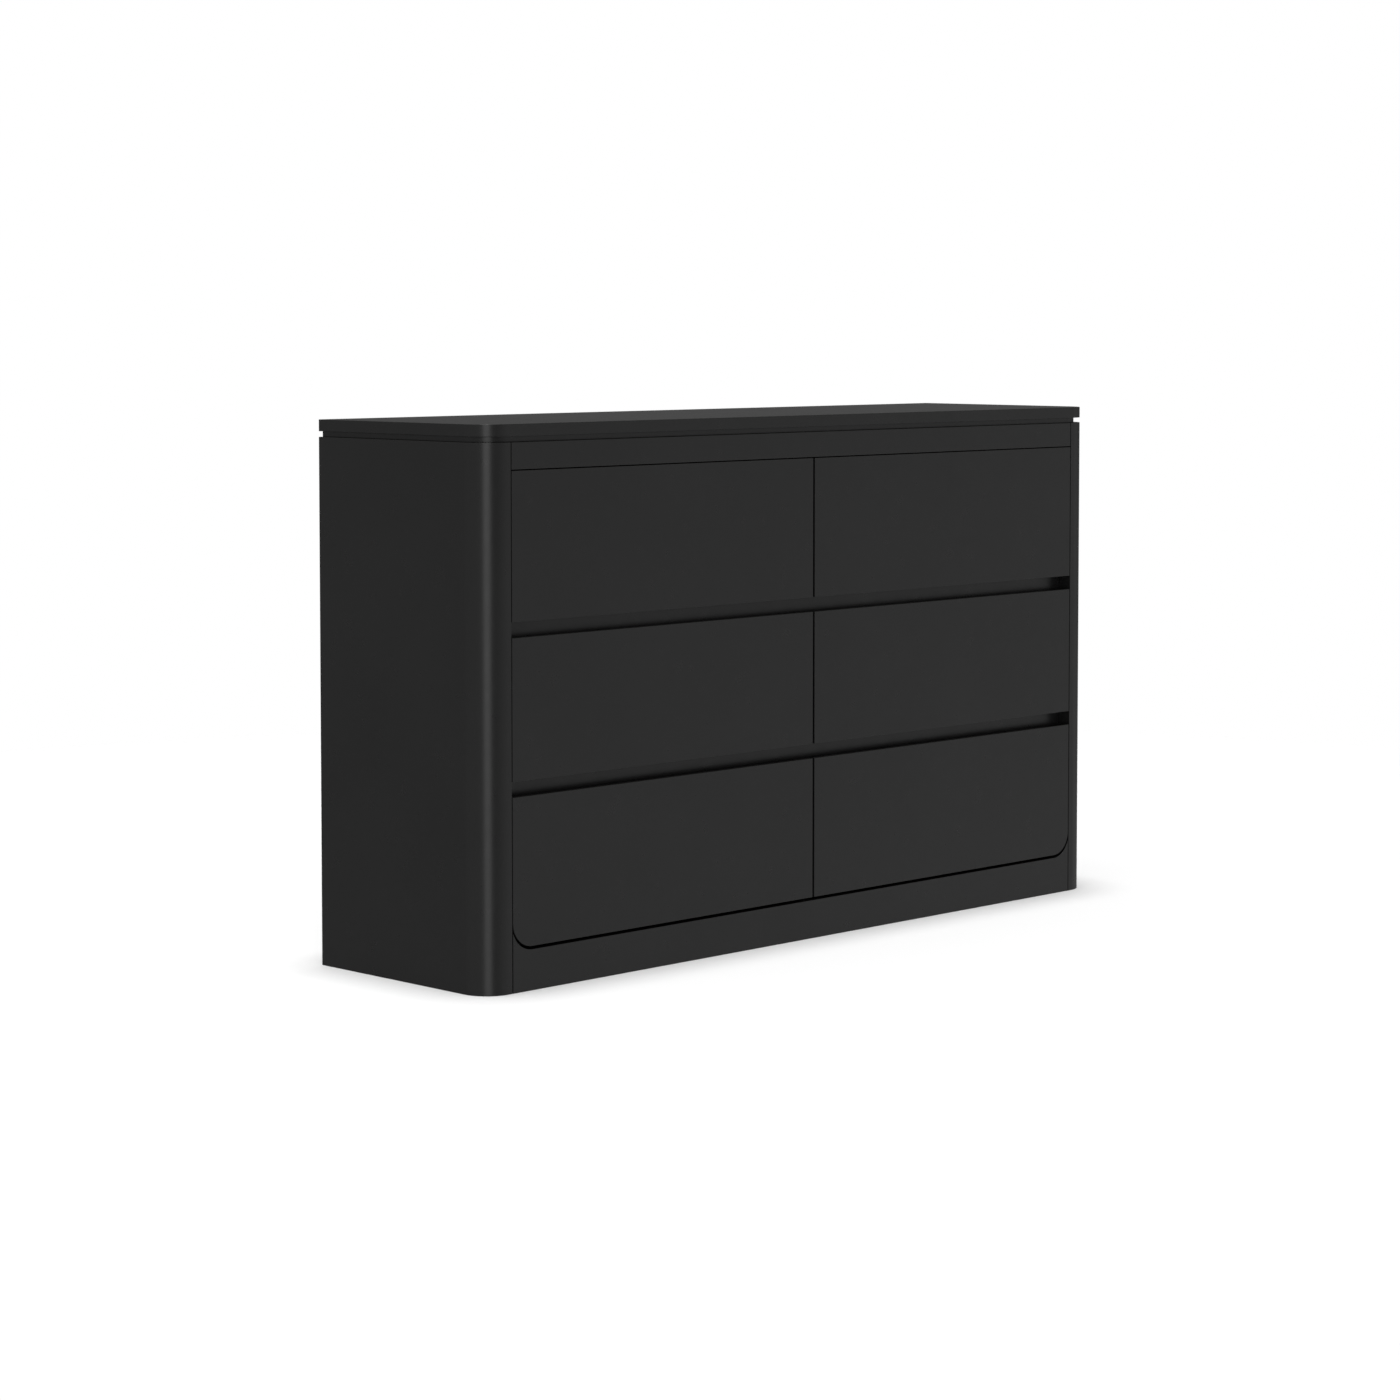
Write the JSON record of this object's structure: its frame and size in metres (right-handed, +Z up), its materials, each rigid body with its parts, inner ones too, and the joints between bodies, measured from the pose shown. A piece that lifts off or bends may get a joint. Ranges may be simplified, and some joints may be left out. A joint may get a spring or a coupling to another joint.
{
  "type": "dresser with drawers",
  "caption": "Low wide chest of drawers with rounded front corners, a top floating over a shadow gap, and finger gaps between the drawer rows in place of handles.",
  "frame": {"origin": "centre of the footprint, on the floor", "axes": "+X along the width, to the right of someone facing the drawers; the drawers face -Y; +Z up"},
  "size_m": [1.4, 0.377, 0.837],
  "materials": {
    "matte_black_board": "matte black lacquer on board",
    "black_inner_board": "black melamine on board",
    "charcoal_box_foil": "charcoal foil on board",
    "zinc_steel": "bright zinc plate",
    "black_plastic": "moulded, fine texture"
  },
  "bodies": {
    "carcass": {"top_slab": "matte_black_board", "shadow_gap_plate": "matte_black_board", "side_panel_left": "matte_black_board", "side_panel_right": "matte_black_board", "top_front_rail": "matte_black_board", "base_front_rail": "matte_black_board", "cross_rail_lower": "matte_black_board", "cross_rail_upper": "matte_black_board", "inner_side_left": "black_inner_board", "inner_side_right": "black_inner_board", "bottom_panel": "black_inner_board", "carcass_top_panel": "black_inner_board", "back_base_rail": "black_inner_board", "centre_divider": "black_inner_board", "back_panel_left": "black_inner_board", "back_panel_right": "black_inner_board", "centre_leg": "black_plastic", "back_joint_strip": "black_plastic", "upper_left_track_l": "zinc_steel", "upper_left_track_r": "zinc_steel", "upper_right_track_l": "zinc_steel", "upper_right_track_r": "zinc_steel", "middle_left_track_l": "zinc_steel", "middle_left_track_r": "zinc_steel", "middle_right_track_l": "zinc_steel", "middle_right_track_r": "zinc_steel", "lower_left_track_l": "zinc_steel", "lower_left_track_r": "zinc_steel", "lower_right_track_l": "zinc_steel", "lower_right_track_r": "zinc_steel"},
    "drawer_upper_left": {"upper_left_front": "matte_black_board", "upper_left_box_wrap": "charcoal_box_foil", "upper_left_box_bottom": "charcoal_box_foil", "upper_left_runner_l": "zinc_steel", "upper_left_runner_r": "zinc_steel"},
    "drawer_upper_right": {"upper_right_front": "matte_black_board", "upper_right_box_wrap": "charcoal_box_foil", "upper_right_box_bottom": "charcoal_box_foil", "upper_right_runner_l": "zinc_steel", "upper_right_runner_r": "zinc_steel"},
    "drawer_middle_left": {"middle_left_front": "matte_black_board", "middle_left_box_wrap": "charcoal_box_foil", "middle_left_box_bottom": "charcoal_box_foil", "middle_left_runner_l": "zinc_steel", "middle_left_runner_r": "zinc_steel"},
    "drawer_middle_right": {"middle_right_front": "matte_black_board", "middle_right_box_wrap": "charcoal_box_foil", "middle_right_box_bottom": "charcoal_box_foil", "middle_right_runner_l": "zinc_steel", "middle_right_runner_r": "zinc_steel"},
    "drawer_lower_left": {"lower_left_front": "matte_black_board", "lower_left_box_wrap": "charcoal_box_foil", "lower_left_box_bottom": "charcoal_box_foil", "lower_left_runner_l": "zinc_steel", "lower_left_runner_r": "zinc_steel"},
    "drawer_lower_right": {"lower_right_front": "matte_black_board", "lower_right_box_wrap": "charcoal_box_foil", "lower_right_box_bottom": "charcoal_box_foil", "lower_right_runner_l": "zinc_steel", "lower_right_runner_r": "zinc_steel"}
  },
  "joints": [
    {"name": "drawer_upper_left_slide", "type": "slide", "parent": "carcass", "child": "drawer_upper_left", "axis": [0, -1, 0], "range_m": [0, 0.22]},
    {"name": "drawer_upper_right_slide", "type": "slide", "parent": "carcass", "child": "drawer_upper_right", "axis": [0, -1, 0], "range_m": [0, 0.22]},
    {"name": "drawer_middle_left_slide", "type": "slide", "parent": "carcass", "child": "drawer_middle_left", "axis": [0, -1, 0], "range_m": [0, 0.22]},
    {"name": "drawer_middle_right_slide", "type": "slide", "parent": "carcass", "child": "drawer_middle_right", "axis": [0, -1, 0], "range_m": [0, 0.22]},
    {"name": "drawer_lower_left_slide", "type": "slide", "parent": "carcass", "child": "drawer_lower_left", "axis": [0, -1, 0], "range_m": [0, 0.22]},
    {"name": "drawer_lower_right_slide", "type": "slide", "parent": "carcass", "child": "drawer_lower_right", "axis": [0, -1, 0], "range_m": [0, 0.22]}
  ]
}
